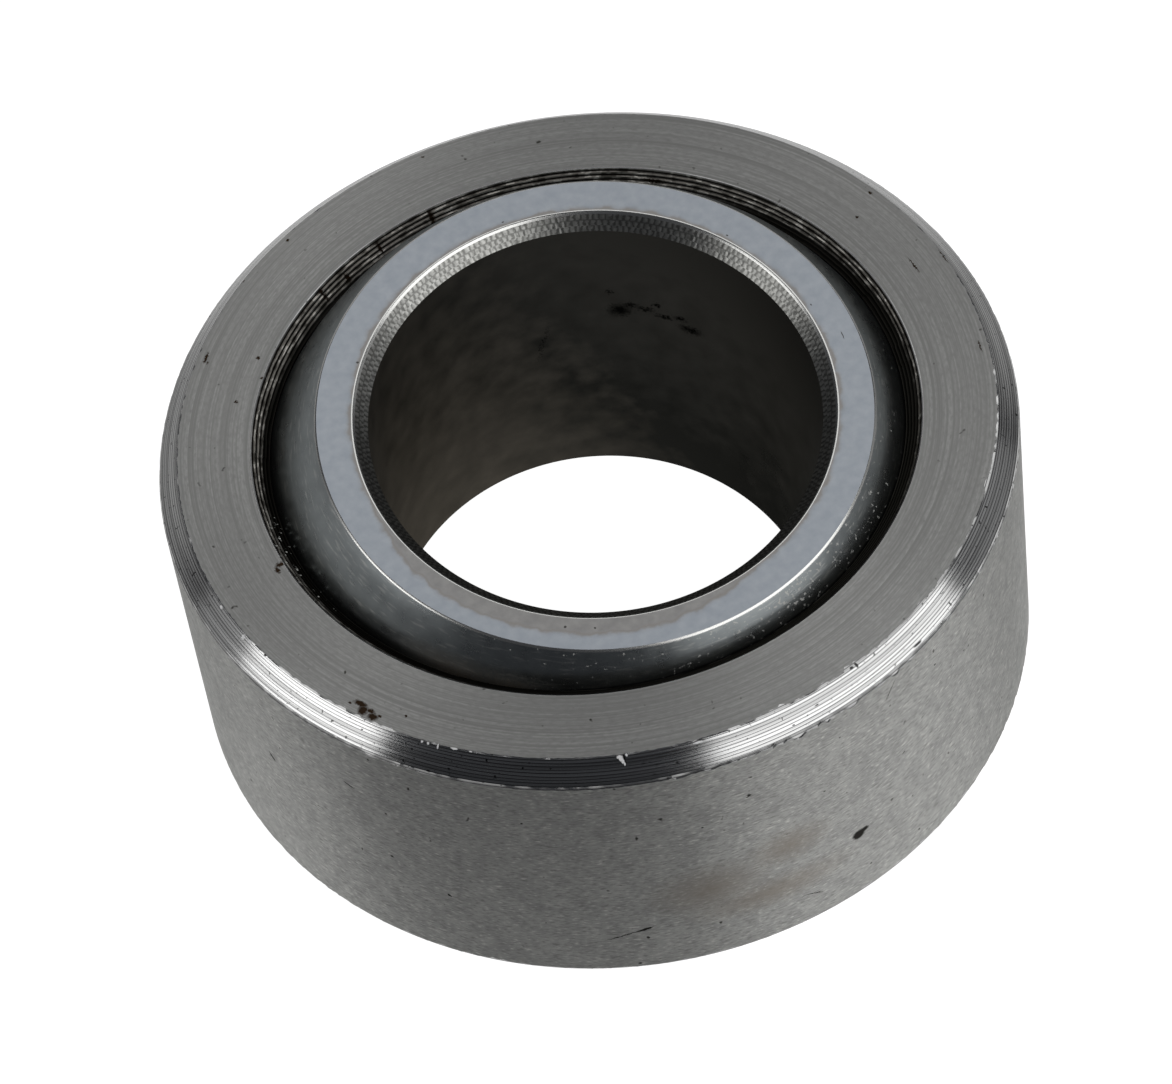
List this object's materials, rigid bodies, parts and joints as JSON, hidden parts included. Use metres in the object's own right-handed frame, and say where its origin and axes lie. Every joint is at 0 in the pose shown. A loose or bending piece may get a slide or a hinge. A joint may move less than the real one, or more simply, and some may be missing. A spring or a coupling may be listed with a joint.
{
  "type": "spherical plain bearing",
  "caption": "Spherical plain bearing: a flat-ended steel ball with a plain bore swivels inside a solid steel outer ring with chamfered, turned edges.",
  "frame": {"origin": "centre of the sphere about which the ball and the outer ring swivel", "axes": "+Z along the ball's bore axis, up, with the ball standing on its flat end; the outer ring leans about X, towards +Y"},
  "size_m": [0.0365, 0.0378, 0.019],
  "materials": {
    "ball_steel": "hardened and polished on the sphere, finely ground on the flat ends",
    "ring_steel": "turned faces and chamfers, ground outer diameter"
  },
  "bodies": {
    "ball": {"ball": "ball_steel"},
    "outer_ring": {"outer_ring": "ring_steel"}
  },
  "joints": [
    {"name": "ring_swivel", "type": "hinge", "parent": "ball", "child": "outer_ring", "pos_m": [0, 0, 0], "axis": [1, 0, 0], "range_deg": [-2.44, 15.99]}
  ]
}
